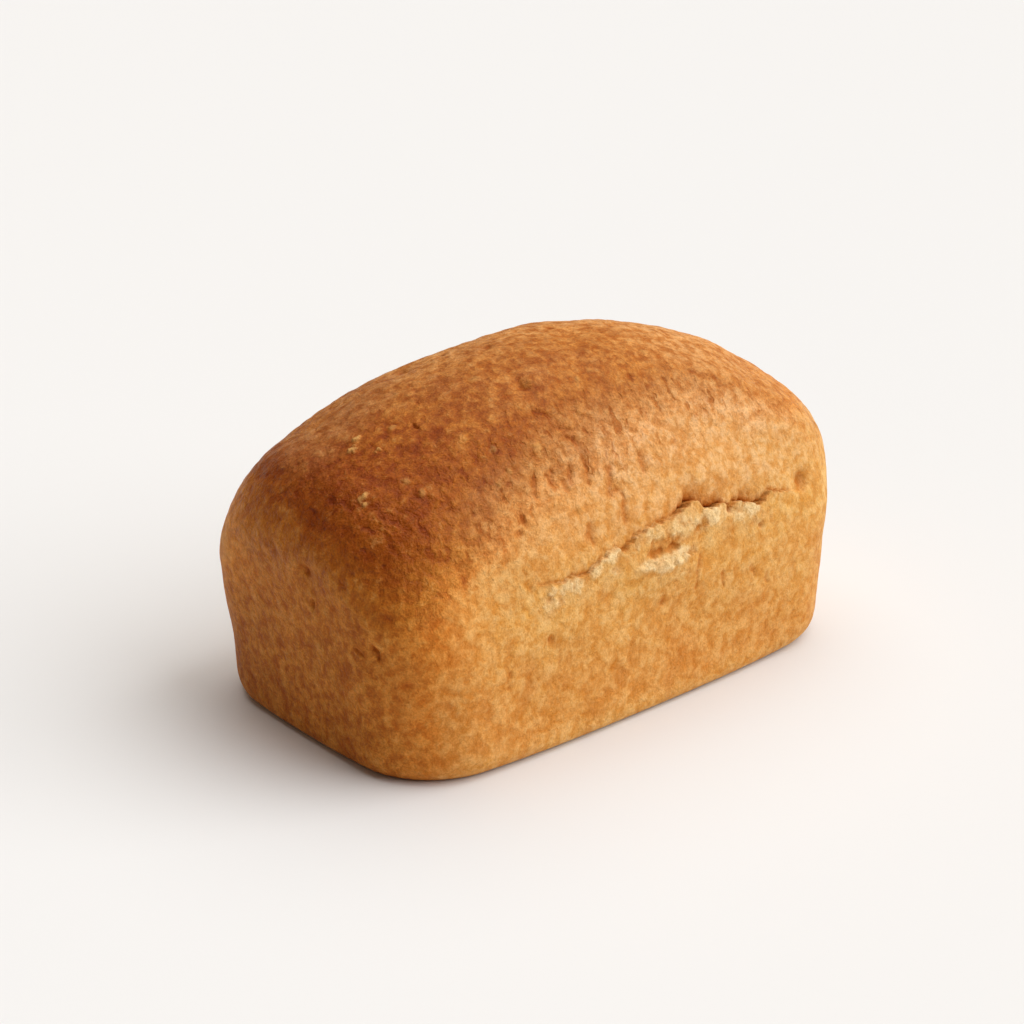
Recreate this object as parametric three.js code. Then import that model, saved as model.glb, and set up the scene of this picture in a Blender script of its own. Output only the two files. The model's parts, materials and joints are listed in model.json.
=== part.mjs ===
// A small tin loaf, baked in a one-pound loaf tin and turned out on its base.
// Millimetres, +Z up. The origin is the middle of the flat base, with the long side along X.
// The loaf is one solid: walls that lean out as the tin does, a domed crown above the tin's rim,
// and one torn side where the crown pulled away from the wall and bared the crumb.

import * as THREE from 'three';
import { mergeVertices } from 'three/addons/utils/BufferGeometryUtils.js';

// Driving dimensions
const LENGTH = 160;
const WIDTH = 90.5;
const HEIGHT = 88;

// Tin walls: how far the end walls lean in from the tin's rim down to the base
const RIM_HEIGHT = 53;
const END_LEAN = 5.7;

// Plan: rounded corners, and walls that bow out between them
const CORNER_RADIUS = 20;
const END_BOW = 2;
const SIDE_BOW = 2.2;

// Crown: how far it falls from the middle to each end and to each side, and how it rolls over
const FALL_LEFT_END = 23.7;
const FALL_RIGHT_END = 25.7;
const FALL_SIDE = 20.6;
const END_FALL_POWER = 2.15;
const SIDE_ROLL = 33;
const LEFT_END_ROLL = 13.8;
const RIGHT_END_ROLL = 6;

// Edge round the base: tight along the walls and fuller at the corners
const BASE_ROLL = 3.5;
const BASE_CORNER_ROLL = 5.7;
const CORNER_SHARPNESS = 5;

// Mesh: cells along the length, width and height, with the rows drawn together at the tear
const CELLS_LONG = 42;
const CELLS_WIDE = 22;
const CELLS_HIGH = 28;
const HEART_HEIGHT = 40;
const ROW_GATHER = 0.62;
const ROW_GATHER_WIDTH = 18;
const FRONT_FADE = 20;

// Tear along the front wall, as points of its upper edge (x, z)
const TEAR_EDGE = [[-46, 49], [-29, 43.9], [-9, 48.4], [14, 51.2], [25, 48.6], [41, 46.4], [60, 44.6]];
const TEAR_LEVEL = 47.5;
const TEAR_INSET = 2.9;
const TEAR_START = -42;
const TEAR_END = 62;
const TEAR_FADE = 14;
const TUCK_DEPTH = 2.6;
const TUCK_REACH = 7;
const LEDGE_DROP = 1.6;
const LEDGE_RISE = 0.8;
const LEDGE_REACH = 12;

// Pocket under the ledge, and the flap of crust that hangs below it
const POCKET = { x: 2, z: 43.6, halfLength: 7, halfHeight: 1.6, depth: 1.8 };
const FLAP = { x: 9, z: 36, halfLength: 7, halfHeight: 5.5, rise: 0.7 };

// Dents and hollows in the skin: place, reach and depth
const DENTS = [
  { at: [58, -40.5, 47], reach: 4, depth: 1.3 },
  { at: [-78.9, -13, 44.3], reach: 4, depth: 0.8 },
  { at: [-74, -33, 29], reach: 4, depth: 0.8 },
  { at: [-66, -40, 17], reach: 5, depth: 0.7 },
  { at: [-18.9, -16.6, 84], reach: 3.5, depth: 1.0 },
  { at: [-30.7, 14.6, 82.8], reach: 4.5, depth: 0.9 },
  { at: [18, 43, 44], reach: 6, depth: 0.9 },
  { at: [77, 12, 40], reach: 6, depth: 0.9 },
];

// Slow swells of the hand-shaped dough: heights, and wavelengths along and around the loaf
const SWELLS = [
  { height: 0.34, along: 83, around: 71, phase: 0.4 },
  { height: 0.24, along: 47, around: 39, phase: 2.1 },
  { height: 0.16, along: 29, around: 24, phase: 4.0 },
];
const SKIN_START = 7;

const clamp = THREE.MathUtils.clamp;
const smoothstep = THREE.MathUtils.smoothstep;

// Rounds the meeting of two faces, each given by its signed distance
function roll(first, second, radius) {
  if (first + radius > 0 && second + radius > 0) {
    return Math.hypot(first + radius, second + radius) - radius;
  }
  return Math.max(first, second);
}

// Signed distance from the walls of the tin, seen in plan at height z
function wallDistance(x, y, z) {
  const below = clamp(1 - z / RIM_HEIGHT, 0, 2);
  const halfLength = LENGTH / 2 - END_LEAN * below;
  const halfWidth = WIDTH / 2;
  const bowedX = Math.abs(x) + END_BOW * (2 * y / WIDTH) ** 2;
  const bowedY = Math.abs(y) + SIDE_BOW * (2 * x / LENGTH) ** 2;
  return roll(bowedX - halfLength, bowedY - halfWidth, CORNER_RADIUS);
}

// Height of the crown over a point of the plan
function crownHeight(x, y) {
  const endFall = x < 0 ? FALL_LEFT_END : FALL_RIGHT_END;
  const alongFall = endFall * Math.abs(2 * x / LENGTH) ** END_FALL_POWER;
  const acrossFall = FALL_SIDE * (2 * y / WIDTH) ** 2;
  return HEIGHT - alongFall - acrossFall;
}

// Signed distance from the whole smooth loaf
function loafDistance(x, y, z) {
  const towardEnd = clamp(Math.abs(2 * x / LENGTH), 0, 1) ** 4;
  const towardSide = clamp(Math.abs(2 * y / WIDTH), 0, 1) ** 4;
  const endShare = towardEnd / (towardEnd + towardSide + 1e-9);
  const endRoll = x < 0 ? LEFT_END_ROLL : RIGHT_END_ROLL;
  const crownRoll = SIDE_ROLL + (endRoll - SIDE_ROLL) * endShare;
  const upper = roll(wallDistance(x, y, z), z - crownHeight(x, y), crownRoll);
  const cornerShare = Math.min(CORNER_SHARPNESS * towardEnd * towardSide, 1);
  return roll(upper, -z, BASE_ROLL + (BASE_CORNER_ROLL - BASE_ROLL) * cornerShare);
}

// The point of the smooth loaf's skin that a ray from its heart passes through
function skinPoint(heart, direction) {
  let inside = 0;
  let outside = 2;
  for (let step = 0; step < 40; step += 1) {
    const middle = (inside + outside) / 2;
    const point = heart.clone().addScaledVector(direction, middle);
    if (loafDistance(point.x, point.y, point.z) < 0) {
      inside = middle;
    } else {
      outside = middle;
    }
  }
  return heart.clone().addScaledVector(direction, (inside + outside) / 2);
}

// The direction that the skin faces at a point
function skinNormal(point) {
  const { x, y, z } = point;
  const h = 0.2;
  return new THREE.Vector3(
    loafDistance(x + h, y, z) - loafDistance(x - h, y, z),
    loafDistance(x, y + h, z) - loafDistance(x, y - h, z),
    loafDistance(x, y, z + h) - loafDistance(x, y, z - h),
  ).normalize();
}

// Height of the tear's upper edge at x
function tearHeight(x) {
  const last = TEAR_EDGE.length - 1;
  if (x <= TEAR_EDGE[0][0]) {
    return TEAR_EDGE[0][1];
  }
  for (let i = 0; i < last; i += 1) {
    const [x0, z0] = TEAR_EDGE[i];
    const [x1, z1] = TEAR_EDGE[i + 1];
    if (x <= x1) {
      return z0 + (z1 - z0) * smoothstep(x, x0, x1);
    }
  }
  return TEAR_EDGE[last][1];
}

// Tear: the crown's skin tucks in above its edge, and the bared crumb stands out as a ledge below
function tearRelief(x, y, z) {
  if (y > 0) {
    return 0;
  }
  const opening = smoothstep(x, TEAR_START, TEAR_START + TEAR_FADE)
    * (1 - smoothstep(x, TEAR_END - TEAR_FADE, TEAR_END));
  const above = z - tearHeight(x);
  if (above > 0) {
    return -TUCK_DEPTH * opening * Math.exp(-((above / TUCK_REACH) ** 1.4));
  }
  const outward = smoothstep(-above, 0, LEDGE_DROP);
  const tuck = -TUCK_DEPTH * (1 - outward);
  const ledge = LEDGE_RISE * outward * (1 - smoothstep(-above, LEDGE_DROP, LEDGE_REACH));
  const ragged = 0.35 * outward * Math.sin(x * 1.1) * Math.sin(x * 0.37 + 1);
  return opening * (tuck + ledge + ragged * Math.exp(above / LEDGE_REACH));
}

// Pocket below the ledge and the flap of crust under it
function flapRelief(x, y, z) {
  if (y > 0) {
    return 0;
  }
  const inPocket = ((x - POCKET.x) / POCKET.halfLength) ** 2 + ((z - POCKET.z) / POCKET.halfHeight) ** 2;
  const onFlap = ((x - FLAP.x) / FLAP.halfLength) ** 4 + ((z - FLAP.z) / FLAP.halfHeight) ** 4;
  return FLAP.rise * Math.exp(-onFlap) - POCKET.depth * Math.exp(-inPocket);
}

function dentRelief(point) {
  let relief = 0;
  for (const dent of DENTS) {
    const away = Math.hypot(point.x - dent.at[0], point.y - dent.at[1], point.z - dent.at[2]);
    relief -= dent.depth * Math.exp(-((away / dent.reach) ** 2));
  }
  return relief;
}

function swellRelief(point) {
  let relief = 0;
  for (const swell of SWELLS) {
    const alongTurn = (point.x + 0.4 * point.z) / swell.along;
    const aroundTurn = (point.z + 0.8 * point.y - 0.2 * point.x) / swell.around;
    relief += swell.height * Math.sin(2 * Math.PI * alongTurn + swell.phase)
      * Math.sin(2 * Math.PI * aroundTurn + 2 * swell.phase);
  }
  return relief;
}

// Gathers the mesh rows round the tear, and on the front wall lets them follow its edge.
// The box stands TEAR_INSET outside the skin there, so the edge is spread by as much.
function gatheredHeight(x, y, z) {
  const spread = WIDTH / (WIDTH - 2 * TEAR_INSET);
  const middle = HEART_HEIGHT + (TEAR_LEVEL - HEART_HEIGHT) * spread;
  const front = 1 - smoothstep(y, -WIDTH / 2, FRONT_FADE - WIDTH / 2);
  const follow = (tearHeight(x / spread) - TEAR_LEVEL) * spread * front;
  const away = z - middle;
  const near = Math.exp(-((away / ROW_GATHER_WIDTH) ** 2));
  return z + (follow - ROW_GATHER * away) * near;
}

function loafGeometry() {
  const box = new THREE.BoxGeometry(LENGTH, WIDTH, HEIGHT, CELLS_LONG, CELLS_WIDE, CELLS_HIGH);
  box.deleteAttribute('normal');
  box.deleteAttribute('uv');
  const geometry = mergeVertices(box, 1e-3);
  const position = geometry.getAttribute('position');
  const heart = new THREE.Vector3(0, 0, HEART_HEIGHT);
  for (let i = 0; i < position.count; i += 1) {
    const target = new THREE.Vector3().fromBufferAttribute(position, i);
    target.z += HEIGHT / 2;
    const onBaseFace = target.z < 1e-3;
    const onTopFace = target.z > HEIGHT - 1e-3;
    if (!onBaseFace && !onTopFace) {
      target.z = gatheredHeight(target.x, target.y, target.z);
    }
    const point = skinPoint(heart, target.sub(heart));
    const normal = skinNormal(point);
    const skin = smoothstep(point.z, 0, SKIN_START);
    const relief = swellRelief(point) + dentRelief(point)
      + tearRelief(point.x, point.y, point.z) + flapRelief(point.x, point.y, point.z);
    point.addScaledVector(normal, relief * skin);
    const rests = onBaseFace && point.z < 0.05;
    position.setXYZ(i, point.x, point.y, rests ? 0 : Math.max(point.z, 0));
  }
  geometry.computeBoundingBox();
  const middle = geometry.boundingBox.getCenter(new THREE.Vector3());
  geometry.translate(-middle.x, -middle.y, 0);
  geometry.computeVertexNormals();
  return geometry;
}

const crust = new THREE.MeshStandardMaterial({ color: 0xc07a3a, roughness: 0.62, metalness: 0 });
const loaf = new THREE.Mesh(loafGeometry(), crust);
loaf.name = 'loaf';

const tinLoaf = new THREE.Group();
tinLoaf.name = 'tin loaf';
tinLoaf.add(loaf);

export default tinLoaf;
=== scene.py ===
"""A small tin loaf, turned out of its tin and standing on its flat base.

Metres, +Z up, with the long side along X. The torn long side, the front, faces -Y. The near end
faces -X and the far end +X.
"""

import json
import math

import bmesh
import bpy
import numpy as np
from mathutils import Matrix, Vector, noise

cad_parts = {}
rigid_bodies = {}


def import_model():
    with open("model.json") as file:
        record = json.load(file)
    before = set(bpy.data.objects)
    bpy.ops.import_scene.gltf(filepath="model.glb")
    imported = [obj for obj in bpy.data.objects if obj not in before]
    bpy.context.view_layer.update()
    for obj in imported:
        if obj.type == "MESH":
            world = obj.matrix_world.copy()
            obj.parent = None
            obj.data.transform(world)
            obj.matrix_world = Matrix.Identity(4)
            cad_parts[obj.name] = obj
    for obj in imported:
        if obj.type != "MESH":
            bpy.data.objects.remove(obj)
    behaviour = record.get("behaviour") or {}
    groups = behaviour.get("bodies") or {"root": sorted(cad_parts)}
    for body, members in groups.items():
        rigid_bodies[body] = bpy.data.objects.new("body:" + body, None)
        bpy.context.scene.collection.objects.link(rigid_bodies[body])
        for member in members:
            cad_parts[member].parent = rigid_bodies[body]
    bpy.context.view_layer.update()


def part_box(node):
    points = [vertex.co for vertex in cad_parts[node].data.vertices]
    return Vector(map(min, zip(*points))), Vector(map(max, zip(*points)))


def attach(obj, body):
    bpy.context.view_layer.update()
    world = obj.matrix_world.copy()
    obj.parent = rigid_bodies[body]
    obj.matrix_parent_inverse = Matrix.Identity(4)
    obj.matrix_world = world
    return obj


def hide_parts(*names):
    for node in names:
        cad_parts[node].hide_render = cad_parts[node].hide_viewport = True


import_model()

# --- The loaf's form -------------------------------------------------------------------------
# One baked piece of wheat dough: walls that lean out as the tin did, a crown that rose above
# the rim and rolled over, and a flat base. A block is split into small cells, as a cook marks a
# slab, and each point is then drawn onto the loaf's skin.

box_low, box_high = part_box("loaf")
LEDGE_ROOM = 0.0013     # the part of the box's width that the torn ledge takes
LEDGE_SHIFT = 0.0003    # how far the middle of the walls lies behind the box's
LENGTH = round(box_high.x - box_low.x, 3)
WIDTH = round(box_high.y - box_low.y, 4) - LEDGE_ROOM
HEIGHT = round(box_high.z - box_low.z, 3)
MIDDLE = np.array([(box_low.x + box_high.x) / 2, (box_low.y + box_high.y) / 2 + LEDGE_SHIFT, 0.0])

RIM_HEIGHT = 0.053
END_LEAN = 0.0057
CORNER_RADIUS = 0.020
END_BOW = 0.0020
SIDE_BOW = 0.0022
FALL_NEAR_END = 0.0237
FALL_FAR_END = 0.0257
FALL_SIDE = 0.0206
END_FALL_POWER = 2.15
SIDE_ROLL = 0.033
NEAR_END_ROLL = 0.0138
FAR_END_ROLL = 0.006
BASE_ROLL = 0.0035
BASE_CORNER_ROLL = 0.0057
CORNER_SHARPNESS = 5
CORNER_POWER = 4

CELLS = {"x": (16, 9), "y": (6, 13), "z": (9, 8)}   # cuts, made in two rounds along each axis
ROW_CROWDING = 0.87     # under 1 crowds the rows of cells toward the crown
HEART = np.array([0.0, 0.0, 0.040])

# The torn edge of the crust along the front wall, as points (x, z)
TEAR_EDGE = [
    (-0.046, 0.0490), (-0.029, 0.0439), (-0.009, 0.0484), (0.014, 0.0512),
    (0.025, 0.0486), (0.041, 0.0464), (0.060, 0.0446),
]
TEAR_LEVEL = 0.0475
TEAR_INSET = 0.0029
ROW_GATHER = 0.5
ROW_GATHER_WIDTH = 0.018
FRONT_FADE = 0.020

TINY = 1e-9
ON_A_FACE = 1e-6        # points of the block this near its top or bottom stay there
LINE_REACH = 2.0        # the lines to the skin are followed for twice their length
HALVINGS = 36
BASE_SNAP = 2e-5        # skin this low is set on the base's plane
NORMAL_REACH = 0.0002


def smooth_step(value, start, end):
    share = np.clip((value - start) / (end - start), 0, 1)
    return share * share * (3 - 2 * share)


def keyed(value, keys):
    """A smooth curve through (place, height) keys, level beyond both ends."""
    result = np.full(np.shape(value), keys[0][1], dtype=float)
    for (start, first), (end, last) in zip(keys, keys[1:]):
        result = np.where(value > start, first + (last - first) * smooth_step(value, start, end), result)
    return result


def rolled(first, second, radius):
    """Rounds the meeting of two faces, each given by its signed distance."""
    meet = (first + radius > 0) & (second + radius > 0)
    return np.where(meet, np.hypot(first + radius, second + radius) - radius, np.maximum(first, second))


def end_share(x, y):
    """How far a place on the loaf belongs to its ends, from 0 on the long sides to 1."""
    toward_end = np.clip(np.abs(2 * x / LENGTH), 0, 1) ** CORNER_POWER
    toward_side = np.clip(np.abs(2 * y / WIDTH), 0, 1) ** CORNER_POWER
    return toward_end / (toward_end + toward_side + TINY)


def loaf_distance(points):
    """Signed distance from the smooth loaf."""
    x, y, z = points.T
    below_rim = np.clip(1 - z / RIM_HEIGHT, 0, 2)
    bowed_x = np.abs(x) + END_BOW * (2 * y / WIDTH) ** 2
    bowed_y = np.abs(y) + SIDE_BOW * (2 * x / LENGTH) ** 2
    walls = rolled(bowed_x - LENGTH / 2 + END_LEAN * below_rim, bowed_y - WIDTH / 2, CORNER_RADIUS)
    end_fall = np.where(x < 0, FALL_NEAR_END, FALL_FAR_END) * np.abs(2 * x / LENGTH) ** END_FALL_POWER
    crown = HEIGHT - end_fall - FALL_SIDE * (2 * y / WIDTH) ** 2
    end_roll = np.where(x < 0, NEAR_END_ROLL, FAR_END_ROLL)
    crown_roll = SIDE_ROLL + (end_roll - SIDE_ROLL) * end_share(x, y)
    upper = rolled(walls, z - crown, crown_roll)
    cornered = np.clip(np.abs(4 * x * y / LENGTH / WIDTH), 0, 1) ** CORNER_POWER
    base_roll = BASE_ROLL + (BASE_CORNER_ROLL - BASE_ROLL) * np.minimum(CORNER_SHARPNESS * cornered, 1)
    return rolled(upper, -z, base_roll)


def drawn_to_skin(points, start=HEART):
    """Where the lines from the start through the points leave the loaf."""
    direction = points - start
    inside = np.zeros(len(points))
    outside = np.full(len(points), LINE_REACH)
    for _ in range(HALVINGS):
        middle = (inside + outside) / 2
        within = loaf_distance(start + direction * middle[:, None]) < 0
        inside = np.where(within, middle, inside)
        outside = np.where(within, outside, middle)
    skin = start + direction * outside[:, None]
    skin[:, 2] = np.where(skin[:, 2] < BASE_SNAP, 0, skin[:, 2])
    return skin


def on_front(x, z):
    return drawn_to_skin(np.array([[x, -WIDTH, z]]), np.array([x, 0, z]))[0]


def on_end(y, z):
    return drawn_to_skin(np.array([[-LENGTH, y, z]]), np.array([0, y, z]))[0]


def on_crown(x, y):
    return drawn_to_skin(np.array([[x, y, 2 * HEIGHT]]), np.array([x, y, HEART[2]]))[0]


def gathered(points):
    """Draws the rows of cells on the front wall together, so that they follow the torn edge."""
    x, y, z = points.T
    z = HEIGHT * np.clip(z / HEIGHT, 0, 1) ** ROW_CROWDING
    widened = WIDTH / (WIDTH - 2 * TEAR_INSET)
    level = HEART[2] + (TEAR_LEVEL - HEART[2]) * widened
    toward_front = 1 - smooth_step(y, -WIDTH / 2, FRONT_FADE - WIDTH / 2)
    follow = (keyed(x / widened, TEAR_EDGE) - TEAR_LEVEL) * widened * toward_front
    away = z - level
    by_tear = np.exp(-((away / ROW_GATHER_WIDTH) ** 2))
    inner = (z > ON_A_FACE) & (z < HEIGHT - ON_A_FACE)
    raised = z + np.where(inner, (follow - ROW_GATHER * away) * by_tear, 0)
    return np.column_stack([x, y, raised])


def read_points(mesh):
    flat = np.empty(len(mesh.vertices) * 3)
    mesh.vertices.foreach_get("co", flat)
    return flat.reshape(-1, 3)


def write_points(mesh, points):
    mesh.vertices.foreach_set("co", points.ravel())
    mesh.update()


def face_centres(mesh):
    flat = np.empty(len(mesh.polygons) * 3)
    mesh.polygons.foreach_get("center", flat)
    return flat.reshape(-1, 3)


def deselect_all():
    for item in bpy.context.scene.objects:
        item.select_set(False)


def select_edges_along(piece, axis):
    """In edit mode, selects the edges of the block that run along one axis."""
    bpy.context.tool_settings.mesh_select_mode = (False, True, False)
    bpy.ops.mesh.select_all(action="DESELECT")
    shape = bmesh.from_edit_mesh(piece.data)
    for edge in shape.edges:
        run = edge.verts[1].co - edge.verts[0].co
        if abs(run[axis]) > 0.99 * run.length:
            edge.select_set(True)
    bmesh.update_edit_mesh(piece.data)


def edit_faces(piece, wanted):
    """Opens edit mode with only the wanted faces selected."""
    bpy.context.tool_settings.mesh_select_mode = (False, False, True)
    for parts in (piece.data.vertices, piece.data.edges):
        parts.foreach_set("select", np.zeros(len(parts), dtype=bool))
    piece.data.polygons.foreach_set("select", wanted)
    bpy.ops.object.mode_set(mode="EDIT")


deselect_all()
bpy.ops.mesh.primitive_cube_add(size=1, location=(0, 0, HEIGHT / 2), scale=(LENGTH, WIDTH, HEIGHT))
loaf = bpy.context.object
loaf.name = "loaf_crust"
bpy.ops.object.transform_apply(location=True, rotation=False, scale=True)
bpy.ops.object.mode_set(mode="EDIT")
for axis, rounds in enumerate(CELLS.values()):
    for cuts in rounds:
        select_edges_along(loaf, axis)
        bpy.ops.mesh.subdivide(number_cuts=cuts)
bpy.ops.object.mode_set(mode="OBJECT")
write_points(loaf.data, drawn_to_skin(gathered(read_points(loaf.data))))

# --- The tear and the marks of the skin, marked out ------------------------------------------
# Where the crown pulled away from the wall, the crust's edge tucks in and the crumb stands out
# under it. Below it is a second small pocket, with a flap of skin hanging under that. Round each
# of these places the cells are split finer.

# How far the tear opens along its length: deep at two places, a mere crease elsewhere
TEAR_OPENING = [
    (-0.038, 0), (-0.030, 0.15), (-0.024, 0.28), (-0.015, 0.18), (-0.007, 0.30), (0.002, 0.22),
    (0.007, 0.30), (0.017, 0.95), (0.023, 1.0), (0.030, 0.30), (0.037, 1.05), (0.044, 0.30),
    (0.052, 0.2), (0.060, 0),
]
# The pocket's basin and the two hollows in it, with how far each reaches along and up and its share
# of the depth
POCKETS = [
    ((0.0040, 0.0441), (0.0070, 0.0026), 0.55), ((0.0014, 0.0436), (0.0040, 0.0015), 1.0),
    ((0.0072, 0.0434), (0.0028, 0.0013), 0.9),
]
POCKET_DEPTH = 0.0013
FLAP_EDGE = [(-0.006, 0.0418), (0.001, 0.0413), (0.008, 0.0406), (0.017, 0.0384)]
FLAP_OPENING = [(-0.0065, 0), (-0.002, 0.25), (0.006, 0.25), (0.012, 0.35), (0.018, 0)]

# Small round hollows and short slits, with how wide and deep each is
HOLLOWS = [
    (on_front(0.0289, 0.0468), 0.0010, 0.0022), (on_front(0.0177, 0.0456), 0.0014, 0.0008),
    (on_front(0.0390, 0.0402), 0.0009, 0.0012), (on_front(0.0033, 0.0299), 0.0010, 0.0005),
    (on_front(-0.0337, 0.0311), 0.0011, 0.0005), (on_front(-0.0374, 0.0575), 0.0011, 0.0006),
    (on_front(-0.0178, 0.0532), 0.0014, 0.0006), (on_front(0.0580, 0.0466), 0.0020, 0.0010),
    (on_end(-0.0090, 0.0502), 0.0015, 0.0009), (on_end(-0.0368, 0.0280), 0.0013, 0.0006),
    (on_end(-0.0150, 0.0372), 0.0013, 0.0004), (on_crown(-0.0179, -0.0162), 0.0016, 0.0012),
    (on_crown(-0.0307, 0.0146), 0.0016, 0.0007), (on_crown(-0.0209, 0.0116), 0.0011, 0.0006),
    (on_crown(0.0100, 0.0050), 0.0010, 0.0004), (on_front(-0.0332, 0.0409), 0.0010, 0.0004),
    (on_crown(-0.0121, 0.0039), 0.0014, 0.0007), (on_crown(-0.0052, -0.0116), 0.0011, 0.0005),
]
SLITS = [
    (on_front(0.0404, 0.0266), on_front(0.0412, 0.0244), 0.0008, 0.0004),
    (on_front(0.0350, 0.0300), on_front(0.0358, 0.0276), 0.0008, 0.0004),
    (on_front(0.0244, 0.0316), on_front(0.0250, 0.0280), 0.0008, 0.0004),
    (on_front(0.0166, 0.0386), on_front(0.0150, 0.0342), 0.0007, 0.0004),
    (on_front(0.0150, 0.0342), on_front(0.0146, 0.0300), 0.0006, 0.0003),
    (on_front(-0.0465, 0.0262), on_front(-0.0468, 0.0222), 0.0007, 0.0004),
    (on_end(-0.0101, 0.0434), on_end(-0.0106, 0.0398), 0.0006, 0.0010),
    (on_end(-0.0249, 0.0350), on_end(-0.0271, 0.0340), 0.0005, 0.0005),
    (on_end(-0.0296, 0.0372), on_end(-0.0311, 0.0357), 0.0005, 0.0008),
    (on_end(-0.0311, 0.0357), on_end(-0.0309, 0.0337), 0.0005, 0.0008),
    (on_crown(-0.0467, -0.0095), on_crown(-0.0467, -0.0114), 0.0004, 0.0007),
]
# Soft creases that run down over the shoulder, each through points (x, z)
CREASE_LINES = [
    [
        (-0.0195, 0.0803), (-0.0171, 0.0779), (-0.0148, 0.0755), (-0.0130, 0.0725),
        (-0.0124, 0.0677), (-0.0136, 0.0640),
    ],
    [(-0.0172, 0.0686), (-0.0190, 0.0646)], [(-0.0065, 0.0653), (-0.0083, 0.0598)],
    [(-0.0203, 0.0655), (-0.0209, 0.0635)], [(-0.0075, 0.0610), (-0.0051, 0.0584), (-0.0061, 0.0538)],
    [(-0.0176, 0.0544), (-0.0175, 0.0509)], [(-0.0232, 0.0682), (-0.0240, 0.0659)],
    [(-0.0286, 0.0672), (-0.0296, 0.0640)], [(0.0039, 0.0660), (0.0034, 0.0627)],
    [(-0.0352, 0.0621), (-0.0357, 0.0592)],
]
SHOULDER_CREASES = [[on_front(*place) for place in line] for line in CREASE_LINES]
CREASE_WIDTH = 0.0009
CREASE_DEPTH = 0.00048
# A raised chip of crumb at the tear's start, with its reach and height, then flecks where the
# skin peeled and small blisters, with their reach
FLAKES = [(on_front(-0.0320, 0.0428), 0.0017, 0.0005)]
FLECKS = [
    (on_crown(-0.0579, -0.0017), 0.0008), (on_crown(-0.0606, -0.0039), 0.0010),
    (on_crown(-0.0573, -0.0093), 0.0006), (on_end(-0.0169, 0.0682), 0.0010),
    (on_end(-0.0183, 0.0674), 0.0006),
]
BLISTERS = [
    (on_crown(-0.0360, -0.0263), 0.0009), (on_crown(-0.0345, -0.0303), 0.0008),
    (on_front(-0.0385, 0.0683), 0.0008), (on_crown(-0.0244, -0.0289), 0.0012),
    (on_crown(-0.0031, -0.0196), 0.0009), (on_front(-0.0191, 0.0591), 0.0009),
    (on_crown(-0.0583, -0.0210), 0.0009), (on_crown(-0.0572, -0.0259), 0.0009),
    (on_crown(0.0231, -0.0163), 0.0008), (on_crown(0.0022, -0.0185), 0.0008),
    (on_crown(-0.0260, -0.0079), 0.0011), (on_crown(-0.0506, -0.0063), 0.0009),
]

# Where the cells are split finer
FINE_CUTS = 2
FINE_ROUND_MARKS = 0.0018
FINE_ROUND_CREASES = 0.0010
FINE_TEAR_SPAN = (-0.042, 0.060)
FINE_TEAR_BAND = (-0.0058, 0.0027)      # below and above the torn edge
FINE_POCKET_SPAN = (-0.008, 0.019)
FINE_POCKET_BAND = (0.034, 0.046)
FRONT_WALL = -0.036
ON_THE_BASE = 1e-7


def between(value, limits):
    return (value > limits[0]) & (value < limits[1])


def distance_to(points, place):
    return np.linalg.norm(points - place, axis=1)


def distance_to_segment(points, first, last):
    along = last - first
    share = np.clip((points - first) @ along / (along @ along), 0, 1)
    return np.linalg.norm(points - first - share[:, None] * along, axis=1)


def distance_to_line(points, line):
    stretches = [distance_to_segment(points, first, last) for first, last in zip(line, line[1:])]
    return np.min(stretches, axis=0)


def near_marks(centres):
    """Which cells lie by the tear, the pocket or one of the marks."""
    x, y, z = centres.T
    by_tear = between(x, FINE_TEAR_SPAN) & between(z - keyed(x, TEAR_EDGE), FINE_TEAR_BAND)
    by_pocket = between(x, FINE_POCKET_SPAN) & between(z, FINE_POCKET_BAND)
    wanted = (y < FRONT_WALL) & (by_tear | by_pocket)
    for at, *_ in HOLLOWS + FLAKES + FLECKS + BLISTERS:
        wanted |= distance_to(centres, at) < FINE_ROUND_MARKS
    for first, last, _, _ in SLITS:
        wanted |= distance_to_segment(centres, first, last) < FINE_ROUND_MARKS
    for line in SHOULDER_CREASES:
        wanted |= distance_to_line(centres, line) < FINE_ROUND_CREASES
    return wanted


edit_faces(loaf, near_marks(face_centres(loaf.data)))
bpy.ops.mesh.subdivide(number_cuts=FINE_CUTS, ngon=False)
bpy.ops.object.mode_set(mode="OBJECT")
write_points(loaf.data, drawn_to_skin(read_points(loaf.data)))

# The flat of the base is left as one face
edit_faces(loaf, face_centres(loaf.data)[:, 2] < ON_THE_BASE)
bpy.ops.mesh.dissolve_faces()
bpy.ops.object.mode_set(mode="OBJECT")

# --- How the crust baked, tore and wrinkled -----------------------------------------------------
# The dough swelled unevenly, tore along the front wall, and dried to a skin that is pebbled and
# wrinkled over the shoulder and smoother on the crown. The points are moved out and in for this,
# and each point keeps how browned, bare or glossy it is, how much painted shade lies in its
# hollows, and its tan with a painted sheen. The base stays flat.

points = read_points(loaf.data)
x, y, z = points.T


def skin_normal(points):
    offsets = NORMAL_REACH * np.eye(3)
    slopes = [loaf_distance(points + offset) - loaf_distance(points - offset) for offset in offsets]
    normal = np.array(slopes).T
    return normal / np.linalg.norm(normal, axis=1)[:, None]


def noise_over(points, size, octaves=1, seed=0):
    """Smooth noise, from about -1 to 1, with lumps about size across. Size may differ by axis."""
    places = points / np.asarray(size) + 17.3 * seed
    if octaves == 1:
        return np.array([noise.noise(Vector(place)) for place in places])
    return np.array([noise.fractal(Vector(place), 1.0, 2.0, octaves) for place in places])


def creases_over(points, size, width, seed=0):
    """Thin wandering creases, as masks from 0 to 1, about size apart."""
    return np.exp(-((noise_over(points, size, seed=seed) / width) ** 2))


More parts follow.
